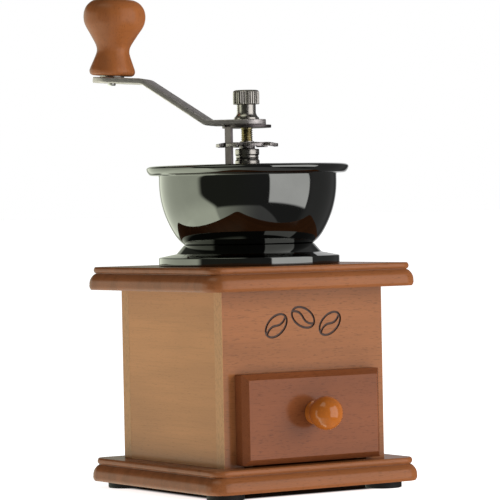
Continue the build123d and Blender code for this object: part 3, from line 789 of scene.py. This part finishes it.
def add_softbox(name, place, aim, size, power):
    """A square lamp that polished pieces don't mirror; size and places in metres, power in watts."""
    light = bpy.data.lights.new(name, "AREA")
    light.shape = "SQUARE"
    light.size = size
    light.energy = power
    lamp = bpy.data.objects.new(name, light)
    lamp.location = place
    lamp.rotation_euler = (Vector(aim) - Vector(place)).to_track_quat("-Z", "Y").to_euler()
    lamp.visible_glossy = False
    lamp.visible_camera = False
    bpy.context.scene.collection.objects.link(lamp)


class Sky(Shader):
    """The world's node tree, used with the same short calls as a material's.

    azimuth and height are the direction's angles in degrees, azimuth from the camera's side of the
    mill towards its right.
    """

    def __init__(self):
        self.world = bpy.data.worlds.new("studio")
        self.world.use_nodes = True
        self.tree = self.world.node_tree
        self.surface = self.tree.nodes["Background"]
        direction = self.add("ShaderNodeTexCoord").outputs["Generated"]
        x, y, self.rise = self.split(direction)
        sine, cosine = math.sin(VIEW_AZIMUTH), math.cos(VIEW_AZIMUTH)
        along = self.maths("SUBTRACT", self.times(x, sine), self.times(y, cosine))
        across = self.maths("ADD", self.times(x, cosine), self.times(y, sine))
        degrees = 180 / math.pi
        self.azimuth = self.times(self.maths("ARCTAN2", across, along), degrees)
        self.height = self.times(self.maths("ARCSINE", self.rise), degrees)

    def band(self, value, low, high, soft):
        """1 between low and high, 0 outside, with edges that are soft on both sides."""
        rise = self.ramp(value, low - soft, low + soft)
        fall = self.ramp(value, high - soft, high + soft, 1.0, 0.0)
        return self.times(rise, fall)


def studio_wall(sky):
    """Pale wall on the left, from beside the mill to behind it, shifted and brighter low down."""
    bend = sky.ramp(sky.height, -30, -10, 20.0, 0.0)
    wall = sky.band(sky.maths("SUBTRACT", sky.azimuth, bend), -163, -66, 5)
    wall = sky.times(wall, sky.band(sky.height, -60, 15, 6))
    return sky.times(wall, sky.ramp(sky.height, -32, -12, 1.05, 0.78))


def studio_window(sky):
    """Bright window on the right."""
    return sky.times(sky.band(sky.azimuth, 28.5, 87.5, 1.0), sky.band(sky.height, -24, 40, 1.5))


def studio_table(sky):
    """White table all round, which reaches higher on the left and is brighter there."""
    lean = sky.maths("ADD", sky.azimuth, sky.times(sky.height, 2.0))
    table = sky.times(sky.ramp(sky.height, -30, -26, 1.0, 0.0), sky.ramp(lean, -41, -35, 1.0, 0.0))
    table = sky.maths("MAXIMUM", table, sky.ramp(sky.height, -47, -43, 1.0, 0.0))
    table = sky.times(table, sky.ramp(sky.azimuth, -85, 20, 0.75, 0.12))
    return sky.times(table, sky.ramp(sky.azimuth, -110, -60, 1.55, 1.0))


def studio_overhead(sky):
    """Softbox high up on the left."""
    overhead = sky.times(sky.band(sky.azimuth, -95, -10, 10), sky.band(sky.height, 48, 78, 8))
    return sky.times(overhead, 0.7)


def studio_backdrop(sky):
    """Dim backdrop behind the mill."""
    backdrop = sky.ramp(sky.maths("ABSOLUTE", sky.azimuth), 160, 168, 0.0, 0.3)
    return sky.times(backdrop, sky.band(sky.height, -60, 30, 6))


def studio_room(sky):
    """Brightness of the dark room and all that is lit in it, as polished pieces mirror it."""
    dark, far_side = 0.032, 0.035
    room = sky.maths("ADD", sky.times(sky.band(sky.azimuth, 87.5, 150, 8), far_side), dark)
    for part in (studio_wall, studio_window, studio_table, studio_overhead, studio_backdrop):
        room = sky.maths("MAXIMUM", room, part(sky))
    return sky.times(room, STUDIO_LEVEL)


def make_studio():
    """White for the camera, a dark room with lit parts for polished pieces, soft light for the rest."""
    sky = Sky()
    path = sky.add("ShaderNodeLightPath")
    mirrored = path.outputs["Is Glossy Ray"]
    soft = sky.ramp(sky.rise, 0.0, 0.7, 0.42, 0.31)
    strength = sky.choose(mirrored, soft, studio_room(sky))
    strength = sky.choose(path.outputs["Is Camera Ray"], strength, 1.0)
    tint = sky.times(sky.ramp(sky.azimuth, -30, 25, 1.0, 0.0), mirrored)
    sky.set(Color=sky.mix(tint, WHITE, GREENISH), Strength=strength)
    bpy.context.scene.world = sky.world


def make_camera():
    """The camera, placed and turned by the VIEW_ values."""
    back = Vector((math.sin(VIEW_AZIMUTH), -math.cos(VIEW_AZIMUTH), 0))
    right = Vector((math.cos(VIEW_AZIMUTH), math.sin(VIEW_AZIMUTH), 0))
    level = Vector((0, 0, 1))
    forward = -back * math.cos(VIEW_PITCH) - level * math.sin(VIEW_PITCH)
    up = level * math.cos(VIEW_PITCH) - back * math.sin(VIEW_PITCH)
    rolled_right = right * math.cos(VIEW_ROLL) + up * math.sin(VIEW_ROLL)
    rolled_up = up * math.cos(VIEW_ROLL) - right * math.sin(VIEW_ROLL)
    place = back * VIEW_DISTANCE + right * VIEW_SHIFT_RIGHT + level * VIEW_HEIGHT
    turn = Matrix((rolled_right, rolled_up, -forward)).transposed().to_4x4()
    data = bpy.data.cameras.new("camera")
    data.lens = LENS
    data.sensor_width = 36.0
    data.clip_start = 0.01
    data.clip_end = 100.0
    camera = bpy.data.objects.new("camera", data)
    camera.matrix_world = Matrix.Translation(place) @ turn
    bpy.context.scene.collection.objects.link(camera)
    bpy.context.scene.camera = camera


make_floor()
make_studio()
make_camera()
add_softbox("key", (0.85, -1.0, 0.5), (0, 0, 0.1), 0.8, 15.0)

bpy.context.scene.view_settings.view_transform = "Standard"
